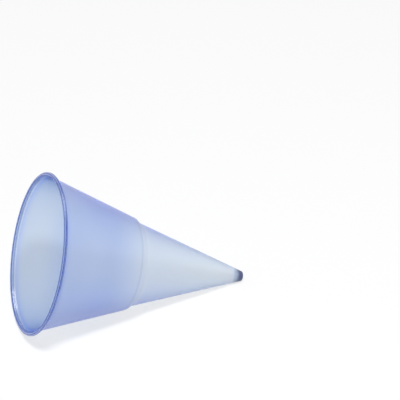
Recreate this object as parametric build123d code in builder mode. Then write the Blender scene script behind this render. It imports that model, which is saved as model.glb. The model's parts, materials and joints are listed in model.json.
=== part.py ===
from build123d import *
from math import acos, asin, atan2, cos, degrees, radians, sin, sqrt, tan
import os

# A cone-shaped drinking cup, formed in one piece from thin tinted plastic sheet: a wide upper cone
# with a rolled rim, a small step all round that keeps nested cups from jamming, and a narrow lower
# cone that ends in a blunt tip with a thick plug of plastic.
# A cone cup can't stand on its tip. It lies on its side, on its rim and the edge of its tip.
# Millimetres, +Z up, mouth towards -X, tip towards +X, origin under the middle of its box.

# Outside, with heights taken from the tip along the cup's own axis
mouth_diameter = 72.0  # over the rolled rim
cup_height = 99.2
shoulder_diameter = 41.6  # lower end of the wide cone
shoulder_height = 56.4
step_inset = 1.85  # how far the step draws the wall in, on the radius
step_height = 2.3
tip_diameter = 4.3  # flat end of the tip, with its edge still sharp

# Sheet, drawn thinner towards the tip
rim_wall = 0.27
shoulder_wall = 0.15
ledge_wall = 0.12
tip_wall = 0.08
tip_floor = 2.2  # the plug left in the tip

# Rolled rim
roll_diameter = 1.7
roll_gap = 0.25  # from the roll's free edge to the wall

# Bends, each on its hollow side
shoulder_bend = 1.2
ledge_bend = 1.2
floor_bend = 1.8
tip_edge = 0.8

# Corners of the section: X is the radius, Y the height on the cup's axis
roll_radius = roll_diameter / 2
roll_centre = Vector(mouth_diameter / 2 - roll_radius, cup_height - roll_radius)
shoulder = Vector(shoulder_diameter / 2, shoulder_height)
ledge = shoulder - Vector(step_inset, step_height)
tip = Vector(tip_diameter / 2, 0)


# Point where a line from a corner touches a round about the roll's centre, on the side of the mouth
def touch(corner, radius):
    way = roll_centre - corner
    side = way.normalized().rotate(Axis.Z, degrees(asin(radius / way.length)))
    return corner + side * sqrt(way.length**2 - radius**2)


# Corner on the inside of the sheet, one wall off the two outside lines that meet at a corner
def inside(before, corner, after, wall):
    square_1 = (corner - before).normalized().rotate(Axis.Z, 90)
    square_2 = (after - corner).normalized().rotate(Axis.Z, 90)
    return corner + (square_1 + square_2) * (wall / (1 + square_1.dot(square_2)))


# Outside and inside of the sheet
wall_top = touch(shoulder, roll_radius - rim_wall)
shoulder_inside = inside(ledge, shoulder, wall_top, shoulder_wall)
ledge_inside = inside(tip, ledge, shoulder, ledge_wall)
tip_inside = tip + (ledge - tip).normalized().rotate(Axis.Z, 90) * tip_wall
lining_top = touch(shoulder_inside, roll_radius)
floor_share = (tip_floor - tip_inside.Y) / (ledge_inside.Y - tip_inside.Y)
floor_corner = tip_inside + (ledge_inside - tip_inside) * floor_share

# Roll: it turns out and down from the wall, and stops with its free edge a gap short of it
wall_side = degrees(atan2(wall_top.Y - roll_centre.Y, wall_top.X - roll_centre.X))
lining_side = degrees(atan2(lining_top.Y - roll_centre.Y, lining_top.X - roll_centre.X))
roll_end = wall_side - 360 + degrees(acos((roll_radius - rim_wall - roll_gap) / roll_radius))

# Lie of the cup: a line under it touches the rim and whichever comes next, tip or shoulder
half_angle = degrees(atan2(ledge.X - tip.X, ledge.Y - tip.Y))
edge_centre = Vector(tip.X - tip_edge / tan(radians(45 + half_angle / 2)), tip_edge)


def lean(low_centre, low_radius):
    way = roll_centre - low_centre
    return atan2(way.X, way.Y) + asin((roll_radius - low_radius) / way.length)


lie = min(lean(edge_centre, tip_edge), lean(shoulder, 0))
tip_lift = roll_radius + roll_centre.X * cos(lie) - roll_centre.Y * sin(lie)
mouth_reach = roll_centre.Y * cos(lie) + roll_centre.X * sin(lie) + roll_radius
tip_reach = edge_centre.X * sin(lie) - edge_centre.Y * cos(lie) + tip_edge
lying = Plane(
    origin=((mouth_reach - tip_reach) / 2, 0, tip_lift),
    x_dir=(-sin(lie), 0, -cos(lie)),
    z_dir=(0, 1, 0),
)

# The cup
with BuildPart() as cup:
    with BuildSketch(lying):
        with BuildLine():
            outer = FilletPolyline(
                (0, 0),
                tip,
                ledge,
                shoulder,
                wall_top,
                radius=[tip_edge, ledge_bend, shoulder_bend + shoulder_wall],
            )
            roll_inside = CenterArc(roll_centre, roll_radius - rim_wall, wall_side, roll_end - wall_side)
            roll_outside = CenterArc(roll_centre, roll_radius, lining_side, roll_end - lining_side)
            free_edge = Line(roll_inside @ 1, roll_outside @ 1)
            lining = FilletPolyline(
                lining_top,
                shoulder_inside,
                ledge_inside,
                floor_corner,
                (0, tip_floor),
                radius=[shoulder_bend, ledge_bend + ledge_wall, floor_bend],
            )
            on_axis = Line((0, tip_floor), (0, 0))
        make_face()
    revolve(axis=Axis(lying.origin, lying.y_dir))

cup.part.label = "cup"
os.makedirs("parts", exist_ok=True)
export_step(cup.part, "parts/cup.step")

print("lies at", round(degrees(lie), 3), "degrees, tip at", lying.origin, "axis", lying.y_dir)
print("volume", round(cup.part.volume, 1), "box", cup.part.bounding_box())
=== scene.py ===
import bpy
import json
from math import acos, asin, atan2, ceil, cos, pi, radians, sin, sqrt, tan
from mathutils import Matrix, Vector


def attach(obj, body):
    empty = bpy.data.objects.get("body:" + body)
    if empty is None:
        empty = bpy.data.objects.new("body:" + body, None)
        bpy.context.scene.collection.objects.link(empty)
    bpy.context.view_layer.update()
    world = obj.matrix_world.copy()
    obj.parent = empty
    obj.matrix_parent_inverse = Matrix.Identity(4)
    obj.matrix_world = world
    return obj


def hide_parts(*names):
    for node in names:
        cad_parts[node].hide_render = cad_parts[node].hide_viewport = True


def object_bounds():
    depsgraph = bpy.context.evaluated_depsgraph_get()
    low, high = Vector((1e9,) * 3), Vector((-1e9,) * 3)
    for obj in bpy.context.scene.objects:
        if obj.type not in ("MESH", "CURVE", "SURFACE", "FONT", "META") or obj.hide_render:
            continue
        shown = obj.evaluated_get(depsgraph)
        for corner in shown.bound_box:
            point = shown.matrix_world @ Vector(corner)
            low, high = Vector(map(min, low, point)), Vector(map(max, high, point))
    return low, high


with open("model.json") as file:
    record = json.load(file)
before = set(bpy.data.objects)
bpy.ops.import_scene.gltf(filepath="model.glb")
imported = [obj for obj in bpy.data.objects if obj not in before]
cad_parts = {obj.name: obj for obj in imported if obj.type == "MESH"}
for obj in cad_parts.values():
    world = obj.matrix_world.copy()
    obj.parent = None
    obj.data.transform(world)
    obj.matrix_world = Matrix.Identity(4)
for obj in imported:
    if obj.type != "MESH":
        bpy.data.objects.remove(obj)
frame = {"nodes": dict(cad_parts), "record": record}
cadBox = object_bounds()
print("frame loaded, with", len(frame["nodes"]), "solid")

mm = 0.001


# Nodes and shader maths

class Wire:  # a socket that comes out of a node: sums on it add Math nodes
    def __init__(self, board, socket):
        self.board = board
        self.socket = socket

    def sum(self, operation, first, second):
        return self.board.add("ShaderNodeMath", {"operation": operation}, {0: first, 1: second})

    def __add__(self, other):
        return self.sum("ADD", self, other)

    def __radd__(self, other):
        return self.sum("ADD", other, self)

    def __sub__(self, other):
        return self.sum("SUBTRACT", self, other)

    def __rsub__(self, other):
        return self.sum("SUBTRACT", other, self)

    def __mul__(self, other):
        return self.sum("MULTIPLY", self, other)

    def __rmul__(self, other):
        return self.sum("MULTIPLY", other, self)

    def __abs__(self):
        return self.sum("ABSOLUTE", self, 0)

    def angle(self, other):  # of the point that is self up and other across
        return self.sum("ARCTAN2", self, other)


class Board:  # the node tree of one material or of the world
    def __init__(self, tree):
        self.tree = tree
        tree.nodes.clear()

    def add(self, kind, settings={}, sockets={}, out=0):
        node = self.tree.nodes.new(kind)
        for name, value in settings.items():
            setattr(node, name, value)
        for name, value in sockets.items():
            if isinstance(value, Wire):
                self.tree.links.new(value.socket, node.inputs[name])
            else:
                node.inputs[name].default_value = value
        return Wire(self, node.outputs[out]) if node.outputs else node

    def other(self, wire, name):  # another output of the node that a wire comes from
        return Wire(self, wire.socket.node.outputs[name])


def newMaterial(name):
    material = bpy.data.materials.new(name)
    material.use_nodes = True
    return material, Board(material.node_tree)


# The cup's section: x is the radius, y the height over the tip, in millimetres

cupShape = {
    "mouthDiameter": 72.0,
    "height": 99.2,
    "shoulderDiameter": 41.6,
    "shoulderHeight": 56.4,
    "stepInset": 1.85,
    "stepHeight": 2.3,
    "tipDiameter": 4.3,
    "rimWall": 0.27,
    "shoulderWall": 0.15,
    "ledgeWall": 0.12,
    "tipWall": 0.08,
    "tipFloor": 2.2,  # the plug in the tip
    "rollDiameter": 1.7,
    "rollGap": 0.25,  # from the roll's free edge to the wall
    "shoulderBend": 1.2,
    "ledgeBend": 1.2,
    "floorBend": 1.8,
    "tipEdge": 0.8,
    "bendStep": radians(6),  # how finely bends are drawn
    "rollStep": radians(10),
    "segments": 320,  # round the axis
    "sharpAngle": radians(40),
}


def turned(way, angle):
    return Vector((way.x * cos(angle) - way.y * sin(angle), way.x * sin(angle) + way.y * cos(angle)))


def squareTo(start, end):
    return turned((end - start).normalized(), pi / 2)


def arc(centre, radius, start, end, step):
    count = max(2, ceil(abs(end - start) / step))
    angles = [start + (end - start) * n / count for n in range(count + 1)]
    return [centre + Vector((cos(a), sin(a))) * radius for a in angles]


def bend(before, corner, after, radius, step):
    into = (corner - before).normalized()
    out = (after - corner).normalized()
    turn = into.angle_signed(out) * -1  # mathutils counts clockwise turns as positive
    side = 1 if turn > 0 else -1
    start = corner - into * radius * tan(abs(turn) / 2)
    centre = start + turned(into, side * pi / 2) * radius
    first = atan2(start.y - centre.y, start.x - centre.x)
    return arc(centre, radius, first, first + turn, step)


def touch(corner, centre, radius):  # where a line from a corner touches a round, on the side of the mouth
    way = centre - corner
    return corner + turned(way.normalized(), asin(radius / way.length)) * sqrt(way.length ** 2 - radius ** 2)


def inside(before, corner, after, wall):  # the corner one wall further in
    first = squareTo(before, corner)
    second = squareTo(corner, after)
    return corner + (first + second) * (wall / (1 + first.dot(second)))


def cupSection(s):
    rollRadius = s["rollDiameter"] / 2
    rollCentre = Vector((s["mouthDiameter"] / 2 - rollRadius, s["height"] - rollRadius))
    shoulder = Vector((s["shoulderDiameter"] / 2, s["shoulderHeight"]))
    ledge = shoulder - Vector((s["stepInset"], s["stepHeight"]))
    tip = Vector((s["tipDiameter"] / 2, 0))
    bottom = Vector((0, 0))
    plug = Vector((0, s["tipFloor"]))
    wallTop = touch(shoulder, rollCentre, rollRadius - s["rimWall"])
    shoulderIn = inside(ledge, shoulder, wallTop, s["shoulderWall"])
    ledgeIn = inside(tip, ledge, shoulder, s["ledgeWall"])
    tipIn = tip + squareTo(tip, ledge) * s["tipWall"]
    liningTop = touch(shoulderIn, rollCentre, rollRadius)
    floorIn = tipIn.lerp(ledgeIn, (s["tipFloor"] - tipIn.y) / (ledgeIn.y - tipIn.y))

    wallSide = atan2(wallTop.y - rollCentre.y, wallTop.x - rollCentre.x)
    liningSide = atan2(liningTop.y - rollCentre.y, liningTop.x - rollCentre.x)
    rollEnd = wallSide - 2 * pi + acos((rollRadius - s["rimWall"] - s["rollGap"]) / rollRadius)

    step = s["bendStep"]
    outer = [bottom]
    outer += bend(bottom, tip, ledge, s["tipEdge"], step)
    outer += bend(tip, ledge, shoulder, s["ledgeBend"], step)
    outer += bend(ledge, shoulder, wallTop, s["shoulderBend"] + s["shoulderWall"], step)
    outer += arc(rollCentre, rollRadius - s["rimWall"], wallSide, rollEnd, s["rollStep"])
    lining = arc(rollCentre, rollRadius, rollEnd, liningSide, s["rollStep"])
    lining += bend(liningTop, shoulderIn, ledgeIn, s["shoulderBend"], step)
    lining += bend(shoulderIn, ledgeIn, floorIn, s["ledgeBend"] + s["ledgeWall"], step)
    lining += bend(ledgeIn, floorIn, plug, s["floorBend"], step)
    lining += [plug]
    return outer, lining


def spinSection(points, segments):  # both ends of the section lie on the axis
    rings = points[1:-1]
    verts = [(0, 0, points[0].y * mm)]
    for p in rings:
        for k in range(segments):
            a = 2 * pi * k / segments
            verts.append((p.x * mm * cos(a), p.x * mm * sin(a), p.y * mm))
    verts.append((0, 0, points[-1].y * mm))
    faces = []
    last = 1 + (len(rings) - 1) * segments
    for k in range(segments):
        n = (k + 1) % segments
        faces.append((0, 1 + n, 1 + k))
        for r in range(len(rings) - 1):
            low = 1 + r * segments
            high = low + segments
            faces.append((low + k, low + n, high + n, high + k))
        faces.append((last + k, last + n, len(verts) - 1))
    return verts, faces


def cupPlace():  # from the cup's own frame, with its tip at the origin, to where it lies
    tipFace = next(m for m in frame["record"]["mounts"] if m["name"] == "tip_face")
    axis = -Vector(tipFace["axis"]).normalized()
    across = Vector((0, 1, 0))
    turn = Matrix((across.cross(axis), across, axis)).transposed()
    return Matrix.Translation(tipFace["pos_m"]) @ turn.to_4x4()


def makeCup(s):
    outer, lining = cupSection(s)
    points = outer + lining
    verts, faces = spinSection(points, s["segments"])
    mesh = bpy.data.meshes.new("coneCup")
    mesh.from_pydata(verts, [], faces)
    outerVerts = 1 + (len(outer) - 1) * s["segments"]
    outside = mesh.attributes.new("outside", "FLOAT", "POINT")
    outside.data.foreach_set("value", [1.0] * outerVerts + [0.0] * (len(verts) - outerVerts))
    mesh.transform(cupPlace())
    mesh.shade_smooth()
    mesh.set_sharp_from_angle(angle=s["sharpAngle"])
    cup = bpy.data.objects.new("coneCup", mesh)
    bpy.context.scene.collection.objects.link(cup)
    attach(cup, "root")
    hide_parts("cup")
    print("cup made:", len(points), "points in its section,", len(mesh.polygons), "faces")
    return cup


cup = makeCup(cupShape)


# Frosted blue plastic

plastic = {
    "tint": (0.992, 0.997, 0.961, 1),
    "roughness": 0.509,
    "ior": 1.08,  # low, as a thin frosted sheet hardly bends light
    "dye": (0.02, 0.345, 0.798, 1),  # in the thickness of the sheet
    "dyePerMetre": 1430,
    "hazeOutside": 0.217,  # the share of light that is scattered
    "hazeInside": 0.018,
    "hazeColour": (0.9, 0.93, 1, 1),
    "coat": 0.51,  # gloss on the outside
    "coatRoughness": 0.2,
    "sheen": 0.832,
    "sheenRoughness": 0.495,
    "sheenTint": (0.303, 0.387, 1, 1),
    "liningShare": 0.7,  # how much less sheen there is inside
    "thickIor": 1.49,  # of the rim and the plug

    "streakTint": (0.982, 0.987, 0.951, 1),
    "streaks": 9,  # across the cup, drawn out along it
    "streakDetail": 3,
    "streakAlong": 12,
    "streakRoughness": 0.12,
    "grain": 2600,  # to the metre
    "grainDetail": 2,
    "grainRoughness": 0.1,
    "grainHeight": 0.00002,
    "grainStrength": 0.3,

    # from here on places are heights over the tip, in millimetres
    "belly": 71,  # bluer round the middle of the wide cone
    "bellyWidth": 18,
    "bellyTint": (0.703, 0.801, 0.964, 1),
    "ledge": 55.2,  # the step's slope has less sheen and more haze
    "ledgeWidth": 3.4,
    "ledgeShare": 0.7,
    "ledgeHaze": 0.14,
    "fold": 57.6,  # a thin line of painted shade over the step
    "foldWidth": 1.0,
    "foldShade": (0.7, 0.75, 0.8, 1),
    "collarFrom": 94.2,  # thicker sheet under the rim
    "collarTo": 97.4,
    "collarTint": (0.79, 0.835, 1, 1),
    "bareFrom": 56,  # the sheen fades towards the tip
    "bareTo": 14,
    "bareShare": 0.6,

    "rimFrom": 97.2,
    "rimTo": 97.5,
    "rimTint": (0.99, 0.99, 1, 1),
    "rimRoughness": 0.06,
    "rimCoat": 1.0,
    "rimColour": (0.025, 0.05, 0.33, 1),  # of its thick plastic, and the painted shade of the dark lines
    "rimShare": 0.02,
    # dark lines along the rim, partly the thick plastic and partly painted shade: degrees round the roll,
    # width, share
    "rimLines": ((7, 20, 1.0), (75, 27, 1.0), (135, 23, 0.9), (197, 25, 0.85)),
    # a painted highlight: the dark lines fade at one place round the cup
    "paintedGleamAt": -19,  # degrees round the cup
    "paintedGleamWidth": 18,

    "plugFrom": 5.8,
    "plugTo": 4.4,
    "plugShare": 0.9,
    "plugPale": (0.4, 0.48, 0.62, 1),
    "plugColour": (0.05, 0.065, 0.16, 1),
    "darkFrom": 5.0,
    "darkTo": 1.6,
}


def rise(board, height, start, end):  # 0 at one height, 1 at the other
    return board.add("ShaderNodeMapRange", {"interpolation_type": "SMOOTHSTEP"},
                     {"Value": height, "From Min": start * mm, "From Max": end * mm})


def hump(board, value, middle, width):  # 1 in the middle, 0 a width away
    return board.add("ShaderNodeMapRange", {"interpolation_type": "SMOOTHSTEP"},
                     {"Value": abs(value - middle), "From Min": width, "From Max": 0})


def mixColours(board, share, first, second):
    return board.add("ShaderNodeMix", {"data_type": "RGBA"}, {0: share, 6: first, 7: second}, 2)


def mixShaders(board, share, first, second):
    return board.add("ShaderNodeMixShader", {}, {0: share, 1: first, 2: second})


def vectorSum(board, operation, first, second):
    return board.add("ShaderNodeVectorMath", {"operation": operation}, {0: first, 1: second})


def frostedPlastic(p):
    material, board = newMaterial("frostedBluePlastic")
    lie = cupPlace()
    place = board.add("ShaderNodeMapping", {"vector_type": "TEXTURE"}, {
        "Vector": board.other(board.add("ShaderNodeTexCoord"), "Object"),
        "Location": lie.translation, "Rotation": lie.to_euler()})
    parts = board.add("ShaderNodeSeparateXYZ", {}, {0: place})
    height = board.other(parts, "Z")
    about = board.other(parts, "Y").angle(board.other(parts, "X"))
    fromAxis = vectorSum(board, "MULTIPLY", place, (1, 1, 0))

    # the faces on the outside of the sheet, and those that are seen from their own side
    outside = board.other(board.add("ShaderNodeAttribute", {"attribute_name": "outside"}), "Fac")
    front = 1 - board.other(board.add("ShaderNodeNewGeometry"), "Backfacing")

    # streaks and grain
    around = board.add("ShaderNodeVectorMath", {"operation": "NORMALIZE"}, {0: fromAxis})
    along = vectorSum(board, "MULTIPLY", place, (0, 0, p["streakAlong"]))
    drawn = vectorSum(board, "ADD", around, along)
    streak = board.add("ShaderNodeTexNoise", {}, {
        "Vector": drawn, "Scale": p["streaks"], "Detail": p["streakDetail"]})
    grain = board.add("ShaderNodeTexNoise", {}, {
        "Vector": place, "Scale": p["grain"], "Detail": p["grainDetail"]})

    # zones along the cup
    belly = hump(board, height, p["belly"] * mm, p["bellyWidth"] * mm)
    ledge = hump(board, height, p["ledge"] * mm, p["ledgeWidth"] * mm)
    fold = hump(board, height, p["fold"] * mm, p["foldWidth"] * mm)
    rim = rise(board, height, p["rimFrom"], p["rimTo"])
    collar = rise(board, height, p["collarFrom"], p["collarTo"]) * (1 - rim)
    plug = rise(board, height, p["plugFrom"], p["plugTo"]) * front * outside
    dark = rise(board, height, p["darkFrom"], p["darkTo"])
    bare = rise(board, height, p["bareFrom"], p["bareTo"])

    # dark lines along the rolled rim, partly the thick plastic and partly painted shade
    rollRadius = cupShape["rollDiameter"] / 2
    radius = board.other(board.add("ShaderNodeVectorMath", {"operation": "LENGTH"}, {0: fromAxis}), "Value")
    outward = radius - (cupShape["mouthDiameter"] / 2 - rollRadius) * mm
    upward = height - (cupShape["height"] - rollRadius) * mm
    roll = upward.angle(outward)
    lines = 0
    for middle, width, share in p["rimLines"]:
        lines = lines + hump(board, roll, radians(middle), radians(width)) * share
    # painted highlight: the dark lines fade at one place round the cup
    lines = lines * (1 - hump(board, about, radians(p["paintedGleamAt"]), radians(p["paintedGleamWidth"])))
    # the rim's thick plastic, with the dark lines of painted shade
    thickAndShaded = rim * (p["rimShare"] + lines * front * (1 - outside))

    colour = mixColours(board, streak, p["tint"], p["streakTint"])
    colour = mixColours(board, belly, colour, p["bellyTint"])
    # painted shade: a thin darker line over the step
    colour = mixColours(board, fold, colour, p["foldShade"])
    colour = mixColours(board, collar, colour, p["collarTint"])
    colour = mixColours(board, rim, colour, p["rimTint"])
    rough = p["roughness"] + (streak - 0.5) * p["streakRoughness"] + (grain - 0.5) * p["grainRoughness"]
    rough = rough + rim * (p["rimRoughness"] - rough)
    bumped = board.add("ShaderNodeBump", {}, {
        "Strength": p["grainStrength"], "Distance": p["grainHeight"], "Height": grain})
    gloss = outside * p["coat"]
    face = {
        "Base Color": colour, "Roughness": rough, "IOR": p["ior"], "Transmission Weight": 1,
        "Coat Weight": gloss + rim * (p["rimCoat"] - gloss), "Coat Roughness": p["coatRoughness"],
        "Normal": bumped}
    sheen = {
        "Sheen Weight": p["sheen"], "Sheen Roughness": p["sheenRoughness"], "Sheen Tint": p["sheenTint"]}
    plain = board.add("ShaderNodeBsdfPrincipled", {}, face)
    soft = board.add("ShaderNodeBsdfPrincipled", {}, face | sheen)
    haze = board.add("ShaderNodeBsdfDiffuse", {}, {"Color": p["hazeColour"], "Normal": bumped})
    bead = board.add("ShaderNodeBsdfPrincipled", {}, {
        "Base Color": p["rimColour"], "Roughness": p["rimRoughness"], "IOR": p["thickIor"]})
    plugColour = mixColours(board, dark, p["plugPale"], p["plugColour"])
    end = board.add("ShaderNodeBsdfPrincipled", {}, {
        "Base Color": plugColour, "Roughness": rough, "IOR": p["thickIor"], "Normal": bumped})

    lessSheen = ledge * p["ledgeShare"] + bare * p["bareShare"] + (1 - outside) * p["liningShare"]
    surface = mixShaders(board, lessSheen, soft, plain)
    scattered = p["hazeOutside"] - p["hazeInside"] + ledge * p["ledgeHaze"]
    surface = mixShaders(board, p["hazeInside"] + outside * scattered, surface, haze)
    surface = mixShaders(board, thickAndShaded, surface, bead)
    surface = mixShaders(board, plug * p["plugShare"], surface, end)
    body = board.add("ShaderNodeVolumeAbsorption", {}, {"Color": p["dye"], "Density": p["dyePerMetre"]})
    board.add("ShaderNodeOutputMaterial", {}, {"Surface": surface, "Volume": body})
    return material


cup.data.materials.append(frostedPlastic(plastic))
print("plastic mixed")


# Floor, studio and camera

studio = {
    "floorSize": 8.0,
    "floorColour": (0.9, 0.9, 0.9, 1),
    "floorGlow": 0.66,  # how much of the floor is plain white to the eye
    "worldLight": 0.376,
    "keyAzimuth": -14.0,
    "keyElevation": 66.0,
    "keyDistance": 1.5,
    "keySize": 0.3,
    "keyPower": 18.7,
    "backAzimuth": 165.0,
    "backElevation": 68.0,
    "backDistance": 1.2,
    "backSize": 0.8,
    "backPower": 10.5,
}


def softBox(name, azimuth, elevation, distance, size, power):
    lamp = bpy.data.lights.new(name, "AREA")
    lamp.shape = "DISK"
    lamp.size = size
    lamp.energy = power
    box = bpy.data.objects.new(name, lamp)
    way = Vector((sin(azimuth) * cos(elevation), -cos(azimuth) * cos(elevation), sin(elevation)))
    box.location = (cadBox[0] + cadBox[1]) / 2 + way * distance
    box.rotation_euler = way.to_track_quat("Z", "Y").to_euler()
    bpy.context.scene.collection.objects.link(box)
    return box


def seenRays(board):  # 1 for what the eye sees, also by reflection or through the plastic
    path = board.add("ShaderNodeLightPath")
    seen = board.other(path, "Is Camera Ray")
    for name in ("Is Glossy Ray", "Is Transmission Ray"):
        seen = board.add("ShaderNodeMath", {"operation": "MAXIMUM"}, {0: seen, 1: board.other(path, name)})
    return seen


def makeStudio(s):
    half = s["floorSize"] / 2
    mesh = bpy.data.meshes.new("floor")
    corners = [(-half, -half, 0), (half, -half, 0), (half, half, 0), (-half, half, 0)]
    mesh.from_pydata(corners, [], [(0, 1, 2, 3)])
    floor = bpy.data.objects.new("floor", mesh)
    bpy.context.scene.collection.objects.link(floor)
    material, board = newMaterial("paleFloor")
    matt = board.add("ShaderNodeBsdfDiffuse", {}, {"Color": s["floorColour"]})
    glow = board.add("ShaderNodeEmission", {}, {"Color": (1, 1, 1, 1), "Strength": 1})
    mixed = board.add("ShaderNodeMixShader", {}, {0: seenRays(board) * s["floorGlow"], 1: matt, 2: glow})
    board.add("ShaderNodeOutputMaterial", {}, {"Surface": mixed})
    mesh.materials.append(material)

    world = bpy.data.worlds.new("studio")
    world.use_nodes = True
    board = Board(world.node_tree)
    strength = s["worldLight"] + seenRays(board) * (1 - s["worldLight"])
    sky = board.add("ShaderNodeBackground", {}, {"Color": (1, 1, 1, 1), "Strength": strength})
    board.add("ShaderNodeOutputWorld", {}, {"Surface": sky})
    bpy.context.scene.world = world

    key = softBox("keyBox", radians(s["keyAzimuth"]), radians(s["keyElevation"]),
                  s["keyDistance"], s["keySize"], s["keyPower"])
    key.visible_glossy = False
    key.visible_transmission = False
    back = softBox("backBox", radians(s["backAzimuth"]), radians(s["backElevation"]),
                   s["backDistance"], s["backSize"], s["backPower"])
    back.visible_diffuse = False  # only there for its gleam on the rim
    back.visible_transmission = False
    print("studio lit")


makeStudio(studio)

cameraView = {
    "place": (-0.139509, -0.6275, 0.526063),
    "azimuth": radians(-15.346),
    "elevation": radians(36.246),
    "lens": 165.05,
}


def makeCamera(v):
    lens = bpy.data.cameras.new("camera")
    lens.lens = v["lens"]
    camera = bpy.data.objects.new("camera", lens)
    camera.location = v["place"]
    camera.rotation_euler = (pi / 2 - v["elevation"], 0, v["azimuth"])
    bpy.context.scene.collection.objects.link(camera)
    bpy.context.scene.camera = camera
    print("camera placed")


makeCamera(cameraView)
bpy.context.scene.view_settings.view_transform = "Standard"
